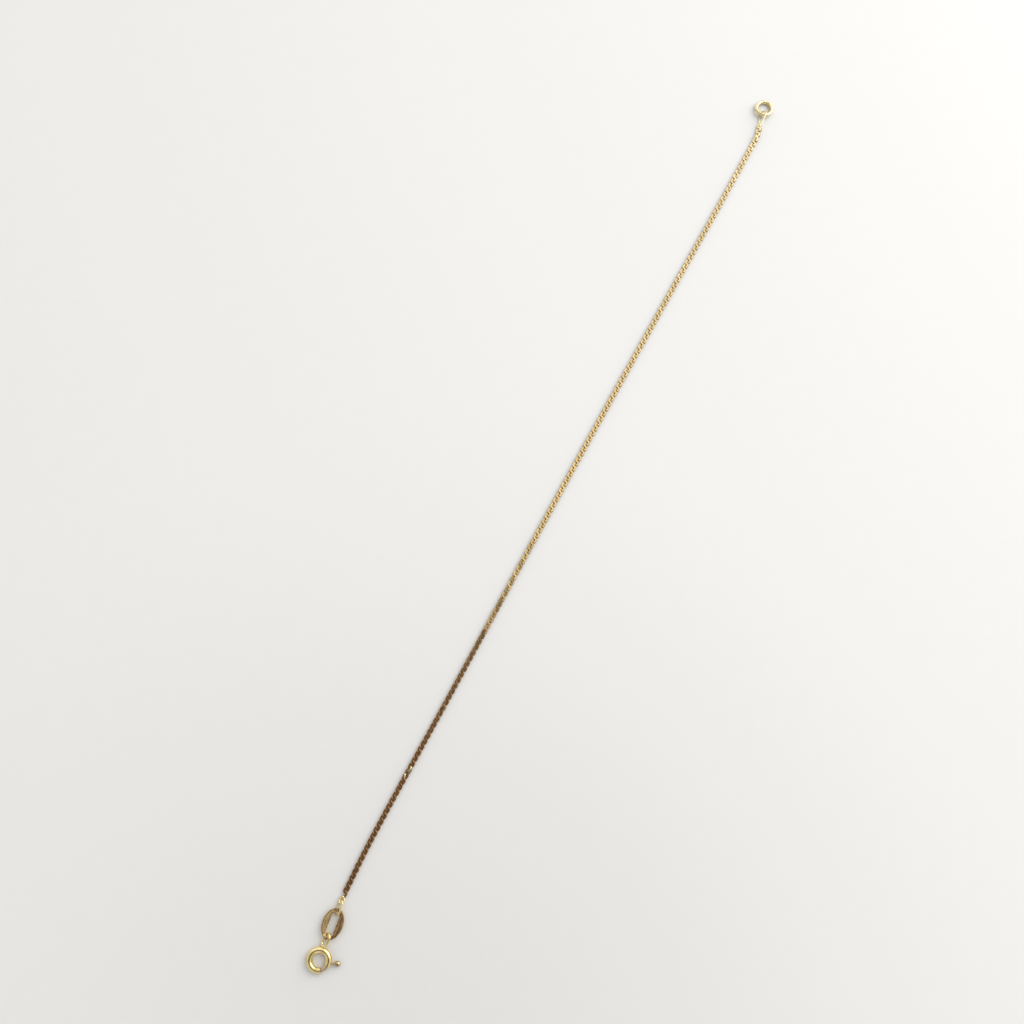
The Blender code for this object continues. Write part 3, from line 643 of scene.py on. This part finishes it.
bolt = {
    "radius": 0.32,
    "nose": -153,
    "tail": -52,
    "noseLength": 0.16,
    "noseTip": 0.6,
    "trigger": -73,
    "reach": 1.68,
    "stem": 0.26,
    "ball": 0.54,
    "ballSteps": 9,
    "neckBack": 0.06,
    "steps": 32,
    "sides": 20,
}


def makeBolt():
    path = (clasp["outer"] - clasp["tube"]) * mm
    noseTurn = bolt["noseLength"] * mm / path
    clearSelection()
    bpy.ops.mesh.primitive_circle_add(vertices=bolt["sides"], radius=bolt["radius"] * mm, fill_type="NGON",
                                      location=(path, 0, 0), rotation=(math.pi / 2, 0, 0))
    rod = nameNew("claspBolt")
    bpy.ops.object.transform_apply(location=True, rotation=True, scale=True)
    bpy.ops.object.mode_set(mode="EDIT")
    bpy.ops.mesh.select_all(action="SELECT")
    sweep = math.radians(bolt["tail"] - bolt["nose"]) - noseTurn
    spinRound(bolt["steps"], sweep, (0, 0, 0))
    # the nose is drawn out and narrowed
    nearZero = 1e-6
    pick(rod, "FACE", lambda f: len(f.verts) > 4 and middleOf(f).y < nearZero and middleOf(f).x > 0)
    for share in (0.5, 1.0):
        size = 1 - (1 - bolt["noseTip"]) * share ** 2
        last = 1 - (1 - bolt["noseTip"]) * (share - 0.5) ** 2 if share > 0.5 else 1
        away = (0, -bolt["noseLength"] / 2 * mm, 0)
        center = Vector((path, -bolt["noseLength"] * share * mm, 0))
        growRing(away, (size / last,) * 3, center)
    bpy.ops.object.mode_set(mode="OBJECT")
    putInPlace(rod, Matrix.Rotation(math.radians(bolt["nose"]) + noseTurn, 4, "Z"))
    tidyNormals(rod, 50)

    # knob: a disc is drawn outwards and widened to a ball, step by step
    ball, stem = bolt["ball"] * mm, bolt["stem"] * mm
    tip = (clasp["outer"] + bolt["reach"]) * mm
    neck = math.pi - math.asin(stem / ball)
    rows = [(path, stem), (tip - ball + ball * math.cos(neck) - bolt["neckBack"] * mm, stem)]
    rows += [(tip - ball + ball * math.cos(neck * (1 - k / bolt["ballSteps"])),
              ball * math.sin(neck * (1 - k / bolt["ballSteps"]))) for k in range(bolt["ballSteps"])]
    clearSelection()
    bpy.ops.mesh.primitive_circle_add(vertices=bolt["sides"], radius=stem, fill_type="NGON",
                                      location=(path, 0, 0), rotation=(0, math.pi / 2, 0))
    knob = nameNew("triggerKnob")
    bpy.ops.object.transform_apply(location=True, rotation=True, scale=True)
    bpy.ops.object.mode_set(mode="EDIT")
    bpy.ops.mesh.select_all(action="SELECT")
    for before, after in zip(rows, rows[1:]):
        size = after[1] / before[1]
        growRing((after[0] - before[0], 0, 0), (1, size, size), (after[0], 0, 0))
    growRing((tip - rows[-1][0], 0, 0))
    bpy.ops.mesh.merge(type="CENTER")
    bpy.ops.object.mode_set(mode="OBJECT")
    putInPlace(knob, Matrix.Rotation(math.radians(bolt["trigger"]), 4, "Z"))
    tidyNormals(knob, 60)
    whole = joinAll([rod, knob], "claspBolt")
    return putInPlace(whole, Matrix.Translation(point(clasp["centre"])))


boltPiece = makeBolt()
dress(boltPiece, "bolt", ["clasp_bolt"], [boltGold])
print("stage 4: the clasp and its bolt are made")


tag = {
    "centre": (-90.9429, 1.3804, 0.7),
    "heading": 7.2,
    "length": 5.8,
    "width": 3.86,
    "thickness": 0.36,
    "claspBar": 0.5,
    "chainBar": 0.62,
    "slotWidth": 1.46,
    "endRound": 1.5,
    "stations": 84,
    "bevel": 0.06,
    "innerBorder": 0.12,
    "outerBorder": 0.2,
    "panelDepth": 0.07,
    "slope": 0.04,
    "crown": 0.06,
    "tickDepth": 0.04,
    "tickEvery": 3,
    "barStart": 2.15,
    "barSpread": 0.2,
    "barRise": 0.4,
    "slotEdge": 0.04,
    "panelCuts": 3,
    "crownShares": (0.7, 0.3),
    "insideRim": 0.93,
    "onRim": 0.999,
    "tickDrop": 0.75,
    "panelMargin": 0.2,
    "panelDip": 0.008,
    "panelLevel": 0.8,
}


def makeTag():
    top = tag["thickness"] / 2 * mm
    rimX, rimY = tag["length"] / 2 * mm, tag["width"] / 2 * mm
    slotX = (tag["length"] - tag["claspBar"] - tag["chainBar"]) / 2 * mm
    slotY = tag["slotWidth"] / 2 * mm
    slotMiddle = (tag["claspBar"] - tag["chainBar"]) / 2 * mm
    sunk = top - tag["panelDepth"] * mm
    clearSelection()
    bpy.ops.mesh.primitive_circle_add(vertices=tag["stations"], radius=rimX)
    plate = nameNew("ovalTag")
    bpy.ops.object.mode_set(mode="EDIT")
    bpy.ops.mesh.select_mode(type="VERT")
    bpy.ops.mesh.select_all(action="SELECT")
    bpy.ops.transform.resize(value=(1, rimY / rimX, 1), center_override=(0, 0, 0))
    # rings from the rim inwards: reach from the rim and height
    lastX, lastY, lastZ = rimX, rimY, 0.0
    for reach, height in ((0, top - tag["bevel"] * mm), (tag["bevel"] * mm, top), (tag["outerBorder"] * mm, top),
                          ((tag["outerBorder"] + tag["slope"]) * mm, sunk)):
        newX, newY = rimX - reach, rimY - reach
        growRing((0, 0, height - lastZ), (newX / lastX, newY / lastY, 1))
        lastX, lastY, lastZ = newX, newY, height
    # rings of the slot, from its border to its wall: the first is an oval with flattened sides
    reach = (tag["innerBorder"] + tag["slope"]) * mm
    newX, newY = slotX + reach, slotY * tag["endRound"] + reach
    growRing((slotMiddle, 0, 0), (newX / lastX, newY / lastY, 1), (slotMiddle, 0, 0))
    ringNow = numbersOf(plate, lambda v: v.select)
    for sign in (1, -1):
        pick(plate, "VERT", lambda v: v.index in ringNow and v.co.y * sign > slotY + reach)
        bpy.ops.transform.resize(value=(1, 0, 1), center_override=(0, sign * (slotY + reach), 0))
    pick(plate, "VERT", lambda v: v.index in ringNow)
    lastX, lastY = newX, slotY + reach
    slotEdge = tag["slotEdge"] * mm
    for reach, height in ((tag["innerBorder"] * mm, top), (slotEdge, top), (0.0, top - slotEdge), (0.0, 0.0)):
        newX, newY = slotX + reach, slotY + reach
        growRing((0, 0, height - lastZ), (newX / lastX, newY / lastY, 1), (slotMiddle, 0, 0))
        lastX, lastY, lastZ = newX, newY, height
    # the sunk panels are crowned, and they rise to the border at the two bars
    flat = 1e-7
    pick(plate, "EDGE", lambda e: all(abs(v.co.z - sunk) < flat for v in e.verts)
         and sum(len(f.verts) for f in e.link_faces) == 8
         and all(all(abs(v.co.z - sunk) < flat for v in f.verts) for f in e.link_faces))
    bpy.ops.mesh.subdivide(number_cuts=tag["panelCuts"])
    inside = numbersOf(plate, lambda v: all(abs(w.co.z - sunk) < flat for f in v.link_faces for w in f.verts))
    middle = numbersOf(plate, lambda v: v.index in inside
                       and all(w.index in inside for f in v.link_faces for w in f.verts))
    for chosen, share in zip((inside, middle), tag["crownShares"]):
        pick(plate, "VERT", lambda v: v.index in chosen)
        bpy.ops.transform.translate(value=(0, 0, tag["crown"] * share * mm))
    for start in (tag["barStart"], tag["barStart"] + tag["barSpread"]):
        pick(plate, "VERT", lambda v: abs(v.co.x - slotMiddle) > start * mm and sunk - flat < v.co.z < top - flat
             and (v.co.x / rimX) ** 2 + (v.co.y / rimY) ** 2 < tag["insideRim"])
        bpy.ops.transform.resize(value=(1, 1, tag["barRise"]), center_override=(0, 0, top))
    # milled ticks in the rim's rounded edge
    stationTurn = 2 * math.pi / tag["stations"]
    pick(plate, "VERT", lambda v: (v.co.x / rimX) ** 2 + (v.co.y / rimY) ** 2 > tag["onRim"]
         and v.co.z > top / 2
         and round(math.atan2(v.co.y / rimY, v.co.x / rimX) / stationTurn) % tag["tickEvery"] == 0)
    inwards = 1 - tag["tickDepth"] * mm / rimY
    bpy.ops.transform.resize(value=(inwards, inwards, tag["tickDrop"]), center_override=(0, 0, 0))
    bpy.ops.object.mode_set(mode="OBJECT")
    applyModifier(plate, "MIRROR", use_axis=(False, False, True), use_mirror_merge=True,
                  merge_threshold=0.001 * mm)
    tidyNormals(plate, 32)
    # which finish goes where: 0 rim and bars, 1 hatched panel painted lighter as reflection, 2 streaked panel
    # painted darker as shade
    margin = tag["panelMargin"] * mm
    for face in plate.data.polygons:
        center = face.center
        onPanel = abs(center.z) < top - tag["panelDip"] * mm and abs(face.normal.z) > tag["panelLevel"]
        inner = (center.x / (rimX - margin)) ** 2 + (center.y / (rimY - margin)) ** 2 < 1
        if onPanel and inner:
            face.material_index = 1 if center.y > 0 else 2
    turn = Matrix.Rotation(math.radians(tag["heading"]), 4, "Z")
    return putInPlace(plate, Matrix.Translation(point(tag["centre"])) @ turn)


tagPiece = makeTag()
dress(tagPiece, "bracelet", ["oval_tag"], [tagGold, hatchedGold, streakedGold])
print("stage 5: the tag is made")


endRing = {"centre": (97.8621, 0.0155, 0.55), "outer": 2.02, "wire": 0.37, "lean": 6.263,
           "heading": 11.966, "steps": 80, "sides": 24}


def makeEndRing():
    clearSelection()
    bpy.ops.mesh.primitive_torus_add(major_radius=(endRing["outer"] - endRing["wire"]) * mm,
                                     minor_radius=endRing["wire"] * mm, major_segments=endRing["steps"],
                                     minor_segments=endRing["sides"])
    ring = nameNew("endRing")
    turn = Matrix.Rotation(math.radians(endRing["heading"]), 4, "Z")
    turn = turn @ Matrix.Rotation(math.radians(endRing["lean"]), 4, "Y")
    putInPlace(ring, Matrix.Translation(point(endRing["centre"])) @ turn)
    tidyNormals(ring, 60)
    return ring


ringPiece = makeEndRing()
dress(ringPiece, "bracelet", ["end_ring"], [ringGold])
print("stage 6: the end ring is made")


studio = {
    "floorSize": 3.0,
    "floorColor": (0.80, 0.795, 0.782),
    "floorGrain": 260.0,
    "floorRough": 0.7,
    "floorTones": (0.99, 1.01),
    "shadeCentre": (-99, -26, 0),
    "shadeReach": 125,
    "shadeDepth": 0.10,
    "soft": (0.70, 0.70, 0.70),
    "bright": (1.10, 1.09, 1.07),
    "brightEdge": (0.06, 0.20),
    "dim": (0.15, 0.132, 0.112),
    "dimCentre": (-0.20, -0.12),
    "dimReach": (0.32, 0.46),
    "dimEdge": (0.86, 1.14),
    "horizon": 0.05,
    "lamp": (0.50, -0.30, 0.40),
    "lampSize": 0.75,
    "lampPower": 3.3,
}


def makeFloor():
    clearSelection()
    bpy.ops.mesh.primitive_plane_add(size=studio["floorSize"])
    floor = nameNew("paleFloor")
    material = bpy.data.materials.new("paleBoard")
    material.use_nodes = True
    tree = material.node_tree
    shader = tree.nodes["Principled BSDF"]
    shader.inputs["Roughness"].default_value = studio["floorRough"]
    place = addNode(tree, "ShaderNodeTexCoord")
    grain = addNode(tree, "ShaderNodeTexNoise", Scale=studio["floorGrain"], Detail=5.0)
    tree.links.new(place.outputs["Object"], grain.inputs["Vector"])
    tones = addNode(tree, "ShaderNodeValToRGB")
    pale = studio["floorColor"]
    tones.color_ramp.elements[0].color = (*[c * studio["floorTones"][0] for c in pale], 1)
    tones.color_ramp.elements[1].color = (*[c * studio["floorTones"][1] for c in pale], 1)
    tree.links.new(grain.outputs["Fac"], tones.inputs["Fac"])
    # a soft shade painted round the clasp, where the floor has to be darker
    away = addNode(tree, "ShaderNodeVectorMath", operation="DISTANCE")
    away.inputs[1].default_value = point(studio["shadeCentre"])
    tree.links.new(place.outputs["Object"], away.inputs[0])
    fade = addNode(tree, "ShaderNodeMapRange", interpolation_type="SMOOTHSTEP")
    fade.inputs["From Max"].default_value = studio["shadeReach"] * mm
    fade.inputs["To Min"].default_value = 1 - studio["shadeDepth"]
    tree.links.new(away.outputs["Value"], fade.inputs["Value"])
    shaded = addNode(tree, "ShaderNodeVectorMath", operation="SCALE")
    tree.links.new(tones.outputs["Color"], shaded.inputs[0])
    tree.links.new(fade.outputs["Result"], shaded.inputs["Scale"])
    tree.links.new(shaded.outputs["Vector"], shader.inputs["Base Color"])
    floor.data.materials.append(material)


def makeWorld():
    # soft white all round, with a dim soft-edged patch overhead
    world = bpy.data.worlds.new("softStudio")
    bpy.context.scene.world = world
    world.use_nodes = True
    tree = world.node_tree
    background = tree.nodes["Background"]
    look = addNode(tree, "ShaderNodeTexCoord")
    apart = addNode(tree, "ShaderNodeSeparateXYZ")
    tree.links.new(look.outputs["Generated"], apart.inputs["Vector"])
    height = addNode(tree, "ShaderNodeMath", operation="MAXIMUM")
    height.inputs[1].default_value = studio["horizon"]
    tree.links.new(apart.outputs["Z"], height.inputs[0])
    shares, slants = [], {}
    for axis, centre, reach in zip("XY", studio["dimCentre"], studio["dimReach"]):
        slant = addNode(tree, "ShaderNodeMath", operation="DIVIDE")
        tree.links.new(apart.outputs[axis], slant.inputs[0])
        tree.links.new(height.outputs[0], slant.inputs[1])
        slants[axis] = slant
        moved = addNode(tree, "ShaderNodeMath", operation="SUBTRACT")
        moved.inputs[1].default_value = centre
        tree.links.new(slant.outputs[0], moved.inputs[0])
        scaled = addNode(tree, "ShaderNodeMath", operation="DIVIDE")
        scaled.inputs[1].default_value = reach
        tree.links.new(moved.outputs[0], scaled.inputs[0])
        squared = addNode(tree, "ShaderNodeMath", operation="MULTIPLY")
        tree.links.new(scaled.outputs[0], squared.inputs[0])
        tree.links.new(scaled.outputs[0], squared.inputs[1])
        shares.append(squared)
    total = addNode(tree, "ShaderNodeMath", operation="ADD")
    tree.links.new(shares[0].outputs[0], total.inputs[0])
    tree.links.new(shares[1].outputs[0], total.inputs[1])
    edge = addNode(tree, "ShaderNodeMapRange", interpolation_type="SMOOTHSTEP")
    edge.inputs["From Min"].default_value = studio["dimEdge"][0]
    edge.inputs["From Max"].default_value = studio["dimEdge"][1]
    tree.links.new(total.outputs[0], edge.inputs["Value"])
    rise = addNode(tree, "ShaderNodeMapRange", interpolation_type="SMOOTHSTEP")
    rise.inputs["From Min"].default_value = studio["brightEdge"][0]
    rise.inputs["From Max"].default_value = studio["brightEdge"][1]
    tree.links.new(slants["X"].outputs[0], rise.inputs["Value"])
    sky = addNode(tree, "ShaderNodeMix", data_type="RGBA")
    tree.links.new(rise.outputs["Result"], sky.inputs["Factor"])
    sky.inputs[mixFirst].default_value = (*studio["soft"], 1)
    sky.inputs[mixSecond].default_value = (*studio["bright"], 1)
    mix = addNode(tree, "ShaderNodeMix", data_type="RGBA")
    tree.links.new(edge.outputs["Result"], mix.inputs["Factor"])
    mix.inputs[mixFirst].default_value = (*studio["dim"], 1)
    tree.links.new(sky.outputs[mixResult], mix.inputs[mixSecond])
    tree.links.new(mix.outputs[mixResult], background.inputs["Color"])


def makeLamp():
    clearSelection()
    bpy.ops.object.light_add(type="AREA", location=studio["lamp"])
    lamp = bpy.context.object
    lamp.name = "softLamp"
    lamp.data.shape = "DISK"
    lamp.data.size = studio["lampSize"]
    lamp.data.energy = studio["lampPower"]
    lamp.rotation_euler = (-Vector(studio["lamp"])).to_track_quat("-Z", "Y").to_euler()


view = {"place": (-45.2359, -12.0612, 200.59), "target": (-7.0259, 7.6588, 0), "lens": 36.07,
        "sensor": 36.0, "clip": (0.001, 20.0)}


def makeCamera():
    clearSelection()
    bpy.ops.object.camera_add(location=point(view["place"]))
    camera = bpy.context.object
    camera.name = "photoCamera"
    look = point(view["target"]) - point(view["place"])
    camera.rotation_euler = look.to_track_quat("-Z", "Y").to_euler()
    camera.data.lens = view["lens"]
    camera.data.sensor_width = view["sensor"]
    camera.data.clip_start, camera.data.clip_end = view["clip"]
    bpy.context.scene.camera = camera


makeFloor()
makeWorld()
makeLamp()
makeCamera()
bpy.context.scene.view_settings.view_transform = "Standard"
print("stage 7: floor, light and camera are set")

clearSelection()
